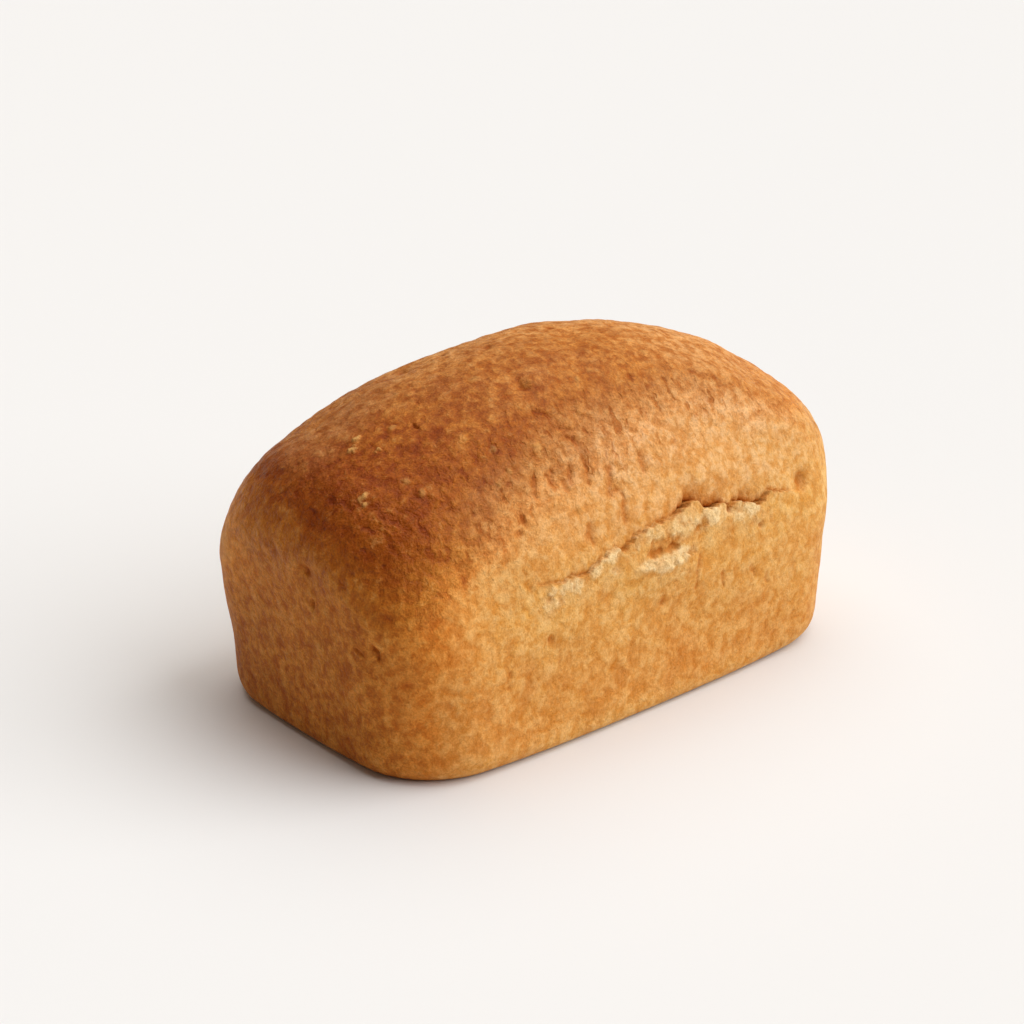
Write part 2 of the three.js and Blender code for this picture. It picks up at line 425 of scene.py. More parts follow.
def pebbles_over(points, size, seed=0):
    """Rounded pebbles about size across with creases between them, from -1 to 1."""
    places = points / np.asarray(size) + 31.7 * seed
    nearest = np.array([noise.voronoi(Vector(place))[0][0] for place in places])
    return 1 - 2 * np.clip(nearest / 0.85, 0, 1) ** 1.5


def spots_over(points, spacing, radius, seed=0):
    """Scattered round spots of up to the given radius, as masks from 0 to 1."""
    smallest, left_out = 0.45, 0.35
    places = points / spacing + 11.9 * seed
    result = np.zeros(len(points))
    for index, place in enumerate(places):
        distances, centres = noise.voronoi(Vector(place))
        own = noise.cell(centres[0] * 7.7)
        reach = radius / spacing * (smallest + (1 - smallest) * own)
        result[index] = max(0.0, 1 - (distances[0] / reach) ** 2) * (own > left_out)
    return result


def fading(away, reach):
    """A soft round fade, from 1 in the middle."""
    return np.exp(-((away / reach) ** 2))


# Where the front wall and the ends come in, from none of them to all
FRONT_STARTS = (0.030, 0.036)
END_STARTS = (0.16, 0.92)
normal = skin_normal(points)
upward_turn = normal[:, 2]
front = smooth_step(-y, *FRONT_STARTS)
side = 1 - end_share(x, y)
end_part = smooth_step(1 - side, *END_STARTS)
near = x < 0

# The torn lip of the tear and of the flap below it. The crust's edge rolls in over the gap, and
# the crumb under it stands out as a ledge that fades down the wall
LIP_DROP = 0.0006
LIP_LIFT_REACH = 0.0014
LIP_ROLLED_SHARE = 0.65
LIP_ROLLED_REACH = 0.35
LIP_DRAWN_REACH = 1.6
NOTCH_DEPTH = 0.0014
NOTCH_REACH = 0.0004
RAGS = [(0.0022, 0.0060, 3), (0.0013, 0.0017, 4)]     # height, length and seed
RAG_SLANT = [1, 0, 0.25]
RAG_RISE = 4            # how soon the rags come in where the lip begins to open
ragged = sum(height * noise_over(points * RAG_SLANT, size, seed=seed) for height, size, seed in RAGS)


def lip_relief(edge, opening, tuck, tuck_reach, ledge, ledge_reach, lift):
    """How far a torn lip moves the skin outward and upward, and each point's height above it."""
    open_share = keyed(x, opening) * front
    above = z - keyed(x, edge) - ragged * np.minimum(open_share * RAG_RISE, 1)
    over_gap, below = np.maximum(above, 0), np.maximum(-above, 0)
    rim = smooth_step(below, 0, LIP_DROP)
    rolled_in = LIP_ROLLED_SHARE * np.exp(-over_gap / (LIP_ROLLED_REACH * tuck_reach))
    drawn_in = (1 - LIP_ROLLED_SHARE) * fading(over_gap, LIP_DRAWN_REACH * tuck_reach)
    over = -tuck * open_share * (rolled_in + drawn_in)
    fall = 1 - smooth_step(below, LIP_DROP, ledge_reach)
    under = -tuck * open_share * (1 - rim) + ledge * np.sqrt(open_share) * rim * fall
    notch = -NOTCH_DEPTH * np.minimum(open_share, 1) ** 2 * fading(above, NOTCH_REACH)
    raised = lift * open_share * rim * fading(below - LIP_DROP, LIP_LIFT_REACH)
    return np.where(above > 0, over, under) + notch, np.where(above > 0, 0, raised), above


tear_out, tear_up, above_tear = lip_relief(
    TEAR_EDGE, TEAR_OPENING, tuck=0.0034, tuck_reach=0.0044, ledge=0.0010, ledge_reach=0.012, lift=0.0009)
flap_out, flap_up, _ = lip_relief(
    FLAP_EDGE, FLAP_OPENING, tuck=0.0016, tuck_reach=0.0022, ledge=0.0010, ledge_reach=0.010, lift=0.0004)

# The pocket under the tear, with a ragged mouth and a pale lip along its foot
MOUTH_RAGGED = 0.5
MOUTH_EDGE = (0.25, 1.15)
LIP_BELOW = 1.5         # the lip lies this far below the pocket's middle, in its reaches
LIP_WIDTH = 0.6
mouth = MOUTH_RAGGED * noise_over(points, 0.0019, octaves=2, seed=21)
pocket = np.zeros(len(points))
pocket_lip = np.zeros(len(points))
for (at_x, at_z), (reach_x, reach_z), share in POCKETS:
    along, up = (x - at_x) / reach_x, (z - at_z) / reach_z
    pocket = np.maximum(pocket, share * (1 - smooth_step(np.hypot(along, up) + mouth, *MOUTH_EDGE)))
    pocket_lip = np.maximum(pocket_lip, fading(up + LIP_BELOW + mouth, LIP_WIDTH) * np.exp(-along ** 4))
pocket *= front
pocket_lip *= front

# Crumb shows along the torn edge and in ragged patches down the wall, each given by its middle
# (x, z), how far it reaches along and up, and how bare it is
CRUMB_PATCHES = [
    ((-0.0250, 0.0430), (0.0068, 0.0038), 1.00), ((-0.0330, 0.0400), (0.0070, 0.0040), 0.70),
    ((-0.0190, 0.0445), (0.0052, 0.0032), 0.90), ((-0.0130, 0.0470), (0.0060, 0.0038), 1.00),
    ((-0.0135, 0.0426), (0.0036, 0.0027), 0.80), ((-0.0048, 0.0480), (0.0042, 0.0032), 0.95),
    ((0.0022, 0.0482), (0.0078, 0.0040), 0.80), ((0.0100, 0.0476), (0.0075, 0.0056), 0.80),
    ((0.0210, 0.0468), (0.0100, 0.0042), 0.95), ((0.0350, 0.0455), (0.0078, 0.0038), 1.00),
    ((0.0380, 0.0426), (0.0070, 0.0036), 0.60), ((0.0520, 0.0460), (0.0040, 0.0014), 0.60),
    ((-0.0020, 0.0415), (0.0056, 0.0026), 0.65), ((0.0080, 0.0408), (0.0096, 0.0032), 1.00),
    ((0.0080, 0.0370), (0.0096, 0.0036), 0.50), ((0.0250, 0.0425), (0.0100, 0.0040), 0.45),
    ((-0.0440, 0.0440), (0.0080, 0.0040), 0.40),
]
CRUMB_ALONG = [(-0.040, 0), (-0.031, 1), (0.040, 1), (0.058, 0)]
RIM_STRIP = (0.8, 0.0010)       # how bare the crumb is right under the edge, and its reach
EDGE_REACH = 0.0004
PATCH_RAGGED = 0.38
PATCH_EDGE = (0.20, 1.25)
torn_into = PATCH_RAGGED * noise_over(points, 0.0034, octaves=3, seed=24)
patched = np.zeros(len(points))
for (at_x, at_z), (reach_x, reach_z), share in CRUMB_PATCHES:
    away = np.hypot((x - at_x) / reach_x, (z - at_z) / reach_z) + torn_into
    patched = np.maximum(patched, share * (1 - smooth_step(away, *PATCH_EDGE)))
crumb_span = keyed(x, CRUMB_ALONG)
rim_strip = RIM_STRIP[0] * np.exp(-np.maximum(-above_tear, 0) / RIM_STRIP[1]) * crumb_span
on_edge = np.exp(-np.maximum(above_tear, 0) / EDGE_REACH) * crumb_span
bared = np.where(above_tear > 0, on_edge, np.maximum(patched, rim_strip)) * front

# How baked the crust is, from 0 for golden to 1 for darkest. First up the long walls, with what
# is added by x and z, and up the near end, with a paler place high on it toward the back
# The lowest key keeps the very foot of the walls paler: painted light bounced up from the floor
WALL_BROWNING = [
    (0.001, 0.07), (0.008, 0.19), (0.016, 0.185), (0.028, 0.13), (0.042, 0.09), (0.055, 0.20),
    (0.064, 0.25),
]
WALL_CHANGES = [
    ([(-0.056, 0.02), (-0.030, 0)], [(0.028, 1), (0.038, 0)]),
    ([(0.042, 0), (0.058, -0.06)], [(0.034, 0), (0.042, 1)]),
]
NEAR_END_BROWNING = [(0.004, 0.60), (0.014, 0.65), (0.028, 0.61), (0.040, 0.56), (0.052, 0.57)]
FAR_END_BROWNING = 0.12
END_PALE_AT = (0.029, 0.047)
END_PALE_REACH = (0.013, 0.011)
END_PALE_LIFT = 0.32
wall_browning = keyed(z, WALL_BROWNING)
for along_keys, up_keys in WALL_CHANGES:
    wall_browning += keyed(x, along_keys) * keyed(z, up_keys)
end_browning = np.where(near, keyed(z, NEAR_END_BROWNING), FAR_END_BROWNING)
wall_browning += (end_browning - wall_browning) * end_part
pale_across = (y - END_PALE_AT[0]) / END_PALE_REACH[0]
pale_up = (z - END_PALE_AT[1]) / END_PALE_REACH[1]
end_pale = fading(np.hypot(pale_across, pale_up), 1)
wall_browning -= END_PALE_LIFT * end_pale * end_part * near

# Then the crown, which is darkest at the near end and just in front of its ridge, and lighter
# behind, with a brown line along its front and a light place at the near corner
CROWN_BROWNING = 0.73
CROWN_BROWNING_ALONG = -4.5
DARKEST_LINE = -0.012
LIGHTER_BEHIND = 6.0
LIGHTEST_BEHIND = 0.16
BEHIND_STARTS = (-0.070, -0.052)
BROWN_LINE = (-0.0265, 0.0050, 0.09)                # its y, its reach and how much darker it is
LIGHT_PLACE = ((-0.0510, -0.0280), 0.0090, 0.18)    # its x and y, its reach and how much lighter
behind = np.minimum(LIGHTER_BEHIND * np.maximum(y - DARKEST_LINE, 0), LIGHTEST_BEHIND)
crown_browning = CROWN_BROWNING + CROWN_BROWNING_ALONG * x - behind * smooth_step(x, *BEHIND_STARTS)
crown_browning += BROWN_LINE[2] * fading(y - BROWN_LINE[0], BROWN_LINE[1])
(light_x, light_y), light_reach, light_share = LIGHT_PLACE
crown_browning -= light_share * fading(np.hypot(x - light_x, y - light_y), light_reach)

# The height at which the brown of the crown sets in, by x on the front and by y on the near end
FRONT_BORDER = [
    (-0.074, 0.047), (-0.066, 0.053), (-0.060, 0.0585), (-0.046, 0.0625), (-0.036, 0.0675),
    (-0.022, 0.0712), (-0.008, 0.0738), (0.010, 0.0762), (0.024, 0.0770), (0.034, 0.0745),
    (0.048, 0.070), (0.062, 0.062),
]
END_BORDER = [
    (-0.034, 0.051), (-0.022, 0.0565), (-0.012, 0.0585), (0, 0.0605), (0.010, 0.062), (0.030, 0.0655),
]
FAR_END_BORDER = 0.064
BACK_BORDER = 0.066
BORDER_DEPTH = (-0.010, 0.008)
BORDER_WANDER = 0.003
wander = BORDER_WANDER * noise_over(points, 0.013, octaves=2, seed=1)
end_border = np.where(near, keyed(y, END_BORDER), FAR_END_BORDER)
side_border = np.where(y < 0, keyed(x, FRONT_BORDER), BACK_BORDER)
border = end_border + side * (side_border - end_border)
risen = smooth_step(z - border - wander, *BORDER_DEPTH)
browning = wall_browning + (crown_browning - wall_browning) * risen

# Places that baked lighter or darker than those round them, with their reach and the change
BAKED_PLACES = [
    (on_front(-0.0610, 0.0570), 0.009, -0.12), (on_crown(-0.0660, -0.0195), 0.009, 0.14),
    (on_end(-0.0310, 0.0340), 0.009, -0.08), (on_end(-0.0300, 0.0180), 0.009, -0.12),
    (on_front(-0.0630, 0.0415), 0.013, 0.14), (on_crown(-0.0490, -0.0050), 0.012, -0.04),
    (on_crown(-0.0430, -0.0240), 0.007, -0.06), (on_front(0.0420, 0.0490), 0.011, -0.06),
]
for at, reach, change in BAKED_PLACES:
    browning += change * fading(distance_to(points, at), reach)

# The crown, and the glossy, pebbled shoulder between its foot and where the skin turns upward
CROWN_TURN = (0.62, 0.95)
SHOULDER_TURN = (0.70, 0.97)
SHOULDER_DEPTH = (-0.006, 0.009)
SHOULDER_FOOT = [
    (-0.078, 0.041), (-0.064, 0.042), (-0.045, 0.053), (-0.012, 0.0596), (0.025, 0.0646), (0.060, 0.064),
]
END_FOOT = 0.047
crown = smooth_step(upward_turn, *CROWN_TURN)
foot = END_FOOT + side * (np.where(y < 0, keyed(x, SHOULDER_FOOT), BACK_BORDER) - END_FOOT)
above_foot = smooth_step(z - foot - wander, *SHOULDER_DEPTH)
shoulder = above_foot * (1 - smooth_step(upward_turn, *SHOULDER_TURN))

# The glaze, and the paler tan where the brown is thin, which is partly a painted sheen. Both lie
# over the shoulder toward the far end and stop lower down toward the near one. The tan and its
# painted sheen come again behind the crown's ridge
LOWER_TURN = [(-0.038, 0.11), (-0.006, 0)]
GLAZE_TURN = (0.44, 0.70)
GLAZE_STARTS = (-0.036, 0.004)
TAN_TURN = (0.54, 0.82)
TAN_FROM = (0.042, 0.056)
TAN_ALONG = [(-0.062, 0), (-0.038, 0.26), (-0.030, 0.26), (0, 0.38), (0.008, 0.38), (0.060, 0.62)]
CROWN_TAN_ALONG = [(-0.060, 0), (-0.010, 0.07), (0.010, 0.07), (0.045, 0.28)]
CROWN_TAN_BEHIND = [(-0.008, 0), (0.014, 0.15)]
turn = upward_turn + keyed(x, LOWER_TURN)
glazed = above_foot * (1 - smooth_step(turn, *GLAZE_TURN)) * side * smooth_step(x, *GLAZE_STARTS)
tan_and_sheen = smooth_step(z, *TAN_FROM) * (1 - smooth_step(turn, *TAN_TURN)) * side * keyed(x, TAN_ALONG)
tan_and_sheen += crown * (keyed(x, CROWN_TAN_ALONG) + keyed(y, CROWN_TAN_BEHIND))

# Slow swells of the dough, each with its height, its lengths along and around, and its phase, then
# dents with their reach and depth
SWELLS = [(0.00034, 0.083, 0.071, 0.4), (0.00024, 0.047, 0.039, 2.1), (0.00016, 0.029, 0.024, 4.0)]
swells_along = x + 0.4 * z
swells_around = z + 0.8 * y - 0.2 * x
DENTS = [
    (on_front(0.058, 0.047), 0.0040, 0.0013), (on_end(-0.009, 0.0500), 0.0040, 0.0006),
    (on_end(-0.030, 0.0350), 0.0040, 0.0006), (on_front(-0.066, 0.017), 0.0050, 0.0006),
    (on_crown(-0.0179, -0.0162), 0.0035, 0.0008), (on_crown(-0.0307, 0.0146), 0.0045, 0.0008),
]
FULL_TURN = 2 * math.pi
relief = np.zeros(len(points))
for height, along, around, phase in SWELLS:
    swell = np.sin(FULL_TURN * swells_along / along + phase)
    relief += height * swell * np.sin(FULL_TURN * swells_around / around + 2 * phase)
for at, reach, depth in DENTS:
    relief -= depth * fading(distance_to(points, at), reach)

# The patterns of the skin. A height in three parts is the height everywhere, then what the
# shoulder and the crown add to it
LUMP_HEIGHT = (0.00010, 0, 0.00003)
PEBBLE_HEIGHT = (0.00006, 0.00008, 0.00004)
WRINKLE_DEPTH = (0.00005, 0.00009, 0)
FINE_CREASE_DEPTH = 0.00009
PIT_DEPTH = 0.00020
warped = points + 0.0008 * noise_over(points, 0.0026, seed=9)[:, None]
pebbles = pebbles_over(warped, [0.0034, 0.0034, 0.0046], seed=2)
wrinkles = creases_over(points, [0.0034, 0.0034, 0.0085], width=0.22, seed=5)
wrinkles *= smooth_step(noise_over(points, 0.009, seed=15), -0.1, 0.35)
creases = creases_over(points, 0.0062, width=0.17, seed=16)
creases *= smooth_step(noise_over(points, 0.011, seed=17), -0.1, 0.3)
lumps = noise_over(points, 0.0075, octaves=2, seed=6)
pits = spots_over(points, spacing=0.0056, radius=0.0016, seed=12) * (1 - 0.5 * crown)
whole = 1 - np.clip(1.5 * bared, 0, 1)      # where the skin isn't torn


def by_place(amounts):
    everywhere, shoulder_adds, crown_adds = amounts
    return everywhere + shoulder_adds * shoulder + crown_adds * crown


relief += lumps * by_place(LUMP_HEIGHT)
relief += whole * (pebbles * by_place(PEBBLE_HEIGHT) - wrinkles * by_place(WRINKLE_DEPTH))
relief -= whole * (FINE_CREASE_DEPTH * creases + PIT_DEPTH * pits)

# The crumb's torn tufts hang down the wall, with strands where the cells are fine enough
TUFT_HEIGHT = 0.00042
STRAND_HEIGHT = 0.00014
FINE_CELLS_END = (0.0040, 0.0070)
CRUMB_STARTS = (-0.0002, 0.0006)
POCKET_LIP_HEIGHT = 0.0005
POCKET_LIP_TUFTS = 0.0003
strands = noise_over(warped, [0.0013, 0.0013, 0.0020], seed=11)
tufts = noise_over(points, 0.0032, octaves=3, seed=13)
fine_cells = 1 - smooth_step(-above_tear, *FINE_CELLS_END)
crumb = TUFT_HEIGHT * tufts + STRAND_HEIGHT * strands * fine_cells
relief += bared * crumb * smooth_step(-above_tear, *CRUMB_STARTS)
relief += pocket_lip * (POCKET_LIP_HEIGHT + POCKET_LIP_TUFTS * tufts)

# The hollows, slits and creases are pressed in, each kind with how strongly painted shade darkens it
HOLLOW_SHADED = 0.8
SLIT_SHADED = 0.65
CREASE_SHADED = 0.7
HOLLOW_RAGGED = 0.35
SLIT_RAGGED = 0.5
SLIT_WIDTHS = (1.15, 0.75)      # a slit's width at its middle, and what its ends take off
SLIT_BEND = 0.0009
ragged_hollows = 1 + HOLLOW_RAGGED * strands
ragged_slits = 1 + SLIT_RAGGED * strands
bending = points + SLIT_BEND * noise_over(points, 0.0028, seed=25)[:, None]
shade_in_marks = np.zeros(len(points))
mark_relief = -POCKET_DEPTH * pocket


def press_in(hollow, depth, painted_shade):
    """Adds a hollow and its painted shade to the marks. Where two meet, the deeper one counts."""
    mark_relief[:] = np.minimum(mark_relief, -depth * hollow)
    shade_in_marks[:] = np.maximum(shade_in_marks, painted_shade * hollow)


for at, reach, depth in HOLLOWS:
    press_in(fading(distance_to(points, at) * ragged_hollows, reach), depth, HOLLOW_SHADED)
for first, last, width, depth in SLITS:
    half_length = np.linalg.norm(last - first) / 2
    from_middle = np.clip(distance_to(points, (first + last) / 2) / (half_length + width), 0, 1)
    narrowed = width * (SLIT_WIDTHS[0] - SLIT_WIDTHS[1] * from_middle ** 2) * ragged_slits
    press_in(fading(distance_to_segment(bending, first, last), narrowed), depth, SLIT_SHADED)
for line in SHOULDER_CREASES:
    away = distance_to_line(bending, line)
    press_in(fading(away, CREASE_WIDTH * ragged_slits), CREASE_DEPTH, CREASE_SHADED)

# The raised marks: the chip, the flecks and the blisters, which are fainter
BLISTER_HEIGHT = 0.0006
BLISTER_SHARE = 0.42
FLECK_SHAPE = [0.8, 1.3, 1.0]
CHIP_RAGGED = 0.45
CHIP_EDGE = (0.55, 0.95)
FLECK_RAGGED = 1.1
BLISTER_RAGGED = 0.6
chip_rag = CHIP_RAGGED * noise_over(points, 0.0015, seed=22)
shreds = noise_over(points, 0.0011, octaves=2, seed=22)
flaky = np.zeros(len(points))
for at, reach, height in FLAKES:
    flake = 1 - smooth_step(distance_to(points, at) / reach + chip_rag, *CHIP_EDGE)
    mark_relief += height * flake
    flaky = np.maximum(flaky, flake)
blisters = np.zeros(len(points))
for at, reach in FLECKS:
    away = np.linalg.norm((points - at) * FLECK_SHAPE, axis=1) / reach + FLECK_RAGGED * shreds
    blisters = np.maximum(blisters, np.exp(-(np.maximum(away, 0) ** 3)))
for at, reach in BLISTERS:
    away = distance_to(points, at) / reach + BLISTER_RAGGED * shreds
    blisters = np.maximum(blisters, BLISTER_SHARE * np.exp(-(np.maximum(away, 0) ** 3)))
mark_relief += BLISTER_HEIGHT * blisters

SKIN_START = 0.007      # the relief grows from the base's plane up to this height
skin = smooth_step(z, 0, SKIN_START)
outward = relief + mark_relief + tear_out + flap_out
moved = points + normal * (outward * skin)[:, None]
moved[:, 2] += (tear_up + flap_up) * skin
moved[:, 2] = np.where(z > 0, np.maximum(moved[:, 2], 0), 0)
write_points(loaf.data, moved + MIDDLE)

# Painted shade: creases, hollows, pits, the tucked-in gap over the torn edge, the pocket and the
# gaps between the crumb's tufts are painted darker and more orange than the skin round them, for
# the shade and the warm light bounced inside them
WRINKLES_SHADED = 0.22
FINE_CREASES_SHADED = 0.16
PITS_SHADED = 0.05
GAPS_SHADED = 0.9
TUFT_SHADED = 1.9
TUFTS_LEFT_CLEAN = 0.06
TUFT_SHADE_LIMIT = 0.75
EDGE_SHADE = (0.55, 0.0006)
SUNK_FROM = 0.0005
SUNK_DEPTH = 0.0021
sunk = np.clip((-tear_out - flap_out - SUNK_FROM) / SUNK_DEPTH, 0, 1)
between_tufts = np.clip(TUFT_SHADED * -tufts - TUFTS_LEFT_CLEAN, 0, TUFT_SHADE_LIMIT)
skin_shade = WRINKLES_SHADED * wrinkles + FINE_CREASES_SHADED * creases + PITS_SHADED * pits
painted_hollow_shade = shade_in_marks + whole * skin_shade + GAPS_SHADED * (sunk + pocket) + bared * between_tufts
painted_hollow_shade += EDGE_SHADE[0] * fading(above_tear, EDGE_SHADE[1]) * crumb_span * front

# The crumb shows on the chip and the pocket's lip too, and thinly in a stretched patch where the
# tear starts
POCKET_LIP_BARE = 0.8
CHIP_BARE = 0.6
START_PATCH_AT = on_front(-0.0450, 0.0480)
START_PATCH_REACH = np.array([0.0100, 0.0060, 0.0055])
START_PATCH_SHARE = 0.40
from_start = distance_to(points / START_PATCH_REACH, START_PATCH_AT / START_PATCH_REACH)
start_patch = START_PATCH_SHARE * fading(from_start, 1)
bared = np.clip(bared * (1 - pocket) + POCKET_LIP_BARE * pocket_lip + CHIP_BARE * flaky, 0, 1)
bared = np.maximum(bared, start_patch)

PAINTED_RELIEF_SHADING = 0.85          # how strongly the painted highlights and shade of the relief show, and what the near end takes off
LESS_ON_END = 0.10
painted_relief_shading = PAINTED_RELIEF_SHADING - LESS_ON_END * end_part * near * (1 - crown)


def keep_on_points(piece, name, values):
    layer = piece.data.attributes.new(name, "FLOAT", "POINT")
    layer.data.foreach_set("value", np.clip(values, 0, 1).astype(np.float32))


keep_on_points(loaf, "browning", browning)
keep_on_points(loaf, "bared", bared)
keep_on_points(loaf, "painted_hollow_shade", painted_hollow_shade)
keep_on_points(loaf, "blister", blisters)
keep_on_points(loaf, "shoulder", shoulder)
keep_on_points(loaf, "glazed", glazed)
keep_on_points(loaf, "tan_and_sheen", tan_and_sheen)
keep_on_points(loaf, "painted_relief_shading", painted_relief_shading)
deselect_all()
loaf.select_set(True)
bpy.context.view_layer.objects.active = loaf
bpy.ops.object.shade_smooth()

# --- The loaf's colour ------------------------------------------------------------------------
# Golden on the walls that the tin kept from the heat, tan with a painted sheen over the shoulder,
# brown on the crown, and cream where the crumb shows. The skin has a dry, faintly satin bloom, and
# its relief and hollows carry painted highlights and shade.


def new_material(name):
    material = bpy.data.materials.new(name)
    material.use_nodes = True
    nodes = material.node_tree.nodes
    nodes.clear()
    output = nodes.new("ShaderNodeOutputMaterial")
    shader = nodes.new("ShaderNodeBsdfPrincipled")
    material.node_tree.links.new(shader.outputs["BSDF"], output.inputs["Surface"])
    return material, shader


crust, crust_shader = new_material("loaf_crust")


def feed(socket, value):
    """Links a value to a socket of the crust if it is a socket, and otherwise sets it."""
    if isinstance(value, bpy.types.NodeSocket):
        crust.node_tree.links.new(value, socket)
    else:
        socket.default_value = value


def add_node(kind, inputs=None, **settings):
    """Adds a node to the crust."""
    node = crust.node_tree.nodes.new(kind)
    for name, value in settings.items():
        setattr(node, name, value)
    for name, value in (inputs or {}).items():
        feed(node.inputs[name], value)
    return node


def noise_node(place, scale, detail, roughness=0.5):
    inputs = {"Vector": place, "Scale": scale, "Detail": detail, "Roughness": roughness}
    return add_node("ShaderNodeTexNoise", inputs)


def spread(value, low, high, to_low=0.0, to_high=1.0):
    """Maps a value from one range to another, held inside it."""
    inputs = {"Value": value, "From Min": low, "From Max": high, "To Min": to_low, "To Max": to_high}
    return add_node("ShaderNodeMapRange", inputs).outputs["Result"]


def mixed(factor, first, second, blend="MIX"):
    node = add_node("ShaderNodeMix", data_type="RGBA", blend_type=blend)
    factor_socket, first_socket, second_socket = node.inputs[0], node.inputs[6], node.inputs[7]
    feed(factor_socket, factor)
    feed(first_socket, first)
    feed(second_socket, second)
    return node.outputs[2]


def tinted_by(factor, tone, painted_shade):
    return mixed(factor, tone, painted_shade, "MULTIPLY")


def worked_out(operation, first, second):
    return add_node("ShaderNodeMath", {0: first, 1: second}, operation=operation).outputs[0]


def added(*values):
    total = values[0]
    for value in values[1:]:
        total = worked_out("ADD", total, value)
    return total


def scaled(first, second):
    return worked_out("MULTIPLY", first, second)


def moved_by(operation, inputs):
    return add_node("ShaderNodeVectorMath", inputs, operation=operation).outputs[0]


def stretched(place, scale):
    return add_node("ShaderNodeMapping", {"Vector": place, "Scale": scale}).outputs["Vector"]


def kept(name):
    return add_node("ShaderNodeAttribute", attribute_name=name).outputs["Fac"]


place = add_node("ShaderNodeTexCoord").outputs["Object"]
browned, crumbed, hollow_shade = kept("browning"), kept("bared"), kept("painted_hollow_shade")
blistered, shouldered = kept("blister"), kept("shoulder")
glaze, tan_and_sheen_share, lively = kept("glazed"), kept("tan_and_sheen"), kept("painted_relief_shading")


def shoulder_or_not(elsewhere, on_shoulder):
    """A value that passes from one to the other onto the shoulder."""
    return spread(shouldered, 0, 1, elsewhere, on_shoulder)


def swung(pattern, amount):
    return spread(pattern, 0.3, 0.7, -amount, amount)


# Patterns of the skin, with how many of their lumps go in a metre. Some are bent by a warp, the
# dough's lumps are a little taller than they are wide, and the dashes run down the wall
WARP = 330
WARP_REACH = 0.0024
BROAD = 60
BLOTCH = 330
DOUGH = 370
FINE = 900
SPECKLE = 2100
FACETS = 390
DASHES = 480
HANGING = (1, 1, 0.95)
RUNNING = (1, 0.45, 0.45)
warp = moved_by("SUBTRACT", {0: noise_node(place, WARP, 2).outputs["Color"], 1: (0.5, 0.5, 0.5)})
bent = moved_by("ADD", {0: place, 1: moved_by("SCALE", {0: warp, "Scale": WARP_REACH})})
hanging = stretched(bent, HANGING)
broad = noise_node(place, BROAD, 2).outputs["Fac"]
blotch = noise_node(bent, BLOTCH, 3, 0.6).outputs["Fac"]
dough = noise_node(hanging, DOUGH, 3, 0.62).outputs["Fac"]
fine = noise_node(place, FINE, 3, 0.65).outputs["Fac"]
speckle = noise_node(place, SPECKLE, 2, 0.6).outputs["Fac"]
cells = add_node("ShaderNodeTexVoronoi", {"Vector": hanging, "Scale": FACETS}).outputs["Distance"]
facet = spread(cells, 0.20, 0.72, 1, 0)
dash = spread(noise_node(stretched(bent, RUNNING), DASHES, 2).outputs["Fac"], 0.42, 0.32)

# The crust's tones from least to most baked, each with how far along the browning it comes. The
# browning wanders, more where it is brown and less on the shoulder
BAKED_TONES = [
    (0.00, (0.765, 0.448, 0.142, 1)),
    (0.33, (0.645, 0.236, 0.037, 1)),
    (0.66, (0.455, 0.146, 0.0155, 1)),
    (1.00, (0.30, 0.068, 0.0045, 1)),
    (1.15, (0.24, 0.043, 0.002, 1)),
]
TAN_AND_SHEEN = (0.77, 0.47, 0.210, 1)
unevenness = added(swung(broad, 0.10), swung(blotch, -0.12), swung(speckle, -0.05))
depth = scaled(spread(browned, 0.30, 0.70, 0.35, 1.0), shoulder_or_not(1, 0.5))
uneven = added(browned, scaled(unevenness, depth))
tone = BAKED_TONES[0][1]
for (first, _), (last, baked) in zip(BAKED_TONES, BAKED_TONES[1:]):
    tone = mixed(spread(uneven, first, last), tone, baked)
# The tan, which is partly a painted sheen
tone = mixed(tan_and_sheen_share, tone, TAN_AND_SHEEN)

# The mottle: golden stains on the walls. Then painted shading of the relief: painted highlights on
# the rises of the dough, and painted shade, golden on the walls and redder on the brown, in its
# hollows and in the dashes
MOTTLE_AND_SHADE_TINT = (0.86, 0.68, 0.38, 1)
CREASE_SHADE_TINT = (0.72, 0.53, 0.31, 1)
PAINTED_HIGHLIGHT = (1.17, 1.36, 1.80, 1)
BLISTER_TONE = (0.60, 0.31, 0.09, 1)
brown_share = added(spread(browned, 0.25, 0.50), scaled(shouldered, 0.7))
painted_shade = mixed(brown_share, MOTTLE_AND_SHADE_TINT, CREASE_SHADE_TINT)
wall_blotches = scaled(spread(blotch, 0.44, 0.66), spread(brown_share, 0, 1, 0.8, 0))
tone = tinted_by(wall_blotches, tone, MOTTLE_AND_SHADE_TINT)
relief_paint_strength = scaled(scaled(spread(browned, 0.20, 0.40, 1.02, 1.35), shoulder_or_not(1.0, 0.80)), lively)
tone = tinted_by(scaled(spread(dough, 0.48, 0.74), relief_paint_strength), tone, PAINTED_HIGHLIGHT)
tone = tinted_by(scaled(spread(dough, 0.54, 0.33, 0, 0.9), relief_paint_strength), tone, painted_shade)
tone = tinted_by(scaled(dash, shoulder_or_not(0.10, 0.85)), tone, painted_shade)
tone = mixed(blistered, tone, BLISTER_TONE)

# The crumb, paler where it is barest, then the painted shade in the hollows and the grain over all
CRUMB = (0.72, 0.41, 0.140, 1)
CRUMB_PALE = (0.88, 0.645, 0.345, 1)
HOLLOW_SHADE_TINT = (0.68, 0.44, 0.20, 1)
crumb_patch = added(scaled(crumbed, 1.35), spread(dough, 0.3, 0.7, -0.46, 0.14))
